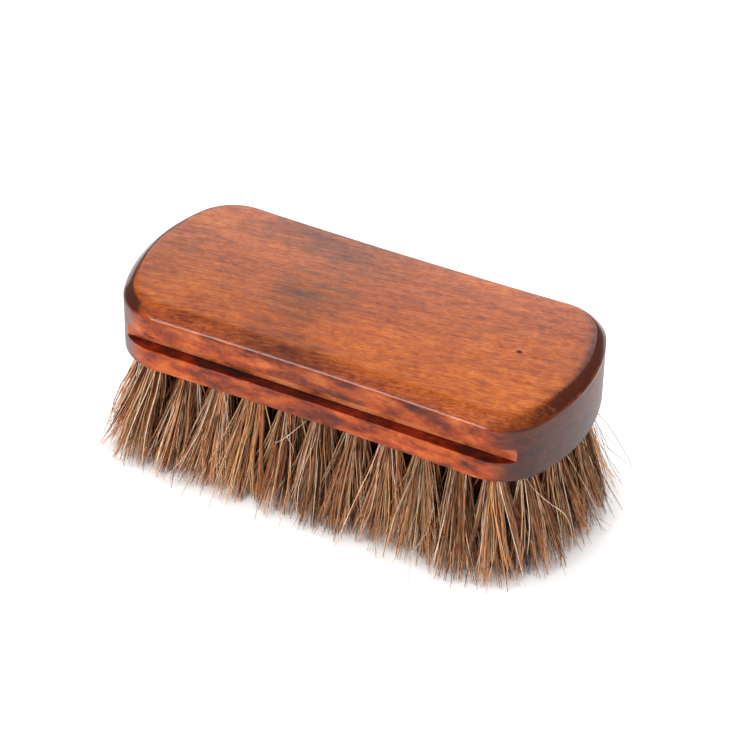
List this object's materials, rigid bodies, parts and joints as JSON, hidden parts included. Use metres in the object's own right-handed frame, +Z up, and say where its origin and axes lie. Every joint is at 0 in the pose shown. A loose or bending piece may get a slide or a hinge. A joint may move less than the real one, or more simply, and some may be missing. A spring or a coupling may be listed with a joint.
{
  "type": "shoe shine brush",
  "caption": "Wooden hand brush for shining shoes: rounded oblong stained block with a finger groove along each long side and flared tufts of natural horsehair underneath.",
  "frame": {"origin": "centre of the tuft tips' plane, under the middle of the block: the brush stands on its hair at z = 0", "axes": "+X along the block, +Y across it, +Z up from the hair tips to the block's top face"},
  "size_m": [0.1352, 0.065, 0.049],
  "materials": {
    "block_wood": "brown stain under satin lacquer",
    "anchor_wire": "bright flat wire",
    "hair": "natural mixed brown horsehair"
  },
  "bodies": {
    "root": {"block": "block_wood", "tuft_anchors": "anchor_wire", "tuft_ring_01": "hair", "tuft_ring_02": "hair", "tuft_ring_03": "hair", "tuft_ring_04": "hair", "tuft_ring_05": "hair", "tuft_ring_06": "hair", "tuft_ring_07": "hair", "tuft_ring_08": "hair", "tuft_ring_09": "hair", "tuft_ring_10": "hair", "tuft_ring_11": "hair", "tuft_ring_12": "hair", "tuft_ring_13": "hair", "tuft_ring_14": "hair", "tuft_ring_15": "hair", "tuft_ring_16": "hair", "tuft_ring_17": "hair", "tuft_ring_18": "hair", "tuft_ring_19": "hair", "tuft_ring_20": "hair", "tuft_ring_21": "hair", "tuft_ring_22": "hair", "tuft_ring_23": "hair", "tuft_ring_24": "hair", "tuft_ring_25": "hair", "tuft_ring_26": "hair", "tuft_ring_27": "hair", "tuft_ring_28": "hair", "tuft_ring_29": "hair", "tuft_ring_30": "hair", "tuft_mid_f1": "hair", "tuft_mid_f2": "hair", "tuft_mid_f3": "hair", "tuft_mid_f4": "hair", "tuft_mid_f5": "hair", "tuft_mid_f6": "hair", "tuft_mid_f7": "hair", "tuft_mid_f8": "hair", "tuft_mid_f9": "hair", "tuft_mid_b1": "hair", "tuft_mid_b2": "hair", "tuft_mid_b3": "hair", "tuft_mid_b4": "hair", "tuft_mid_b5": "hair", "tuft_mid_b6": "hair", "tuft_mid_b7": "hair", "tuft_mid_b8": "hair", "tuft_mid_b9": "hair", "tuft_core_01": "hair", "tuft_core_02": "hair", "tuft_core_03": "hair", "tuft_core_04": "hair", "tuft_core_05": "hair", "tuft_core_06": "hair", "tuft_core_07": "hair", "tuft_core_08": "hair", "tuft_core_09": "hair", "tuft_core_10": "hair"}
  },
  "joints": []
}
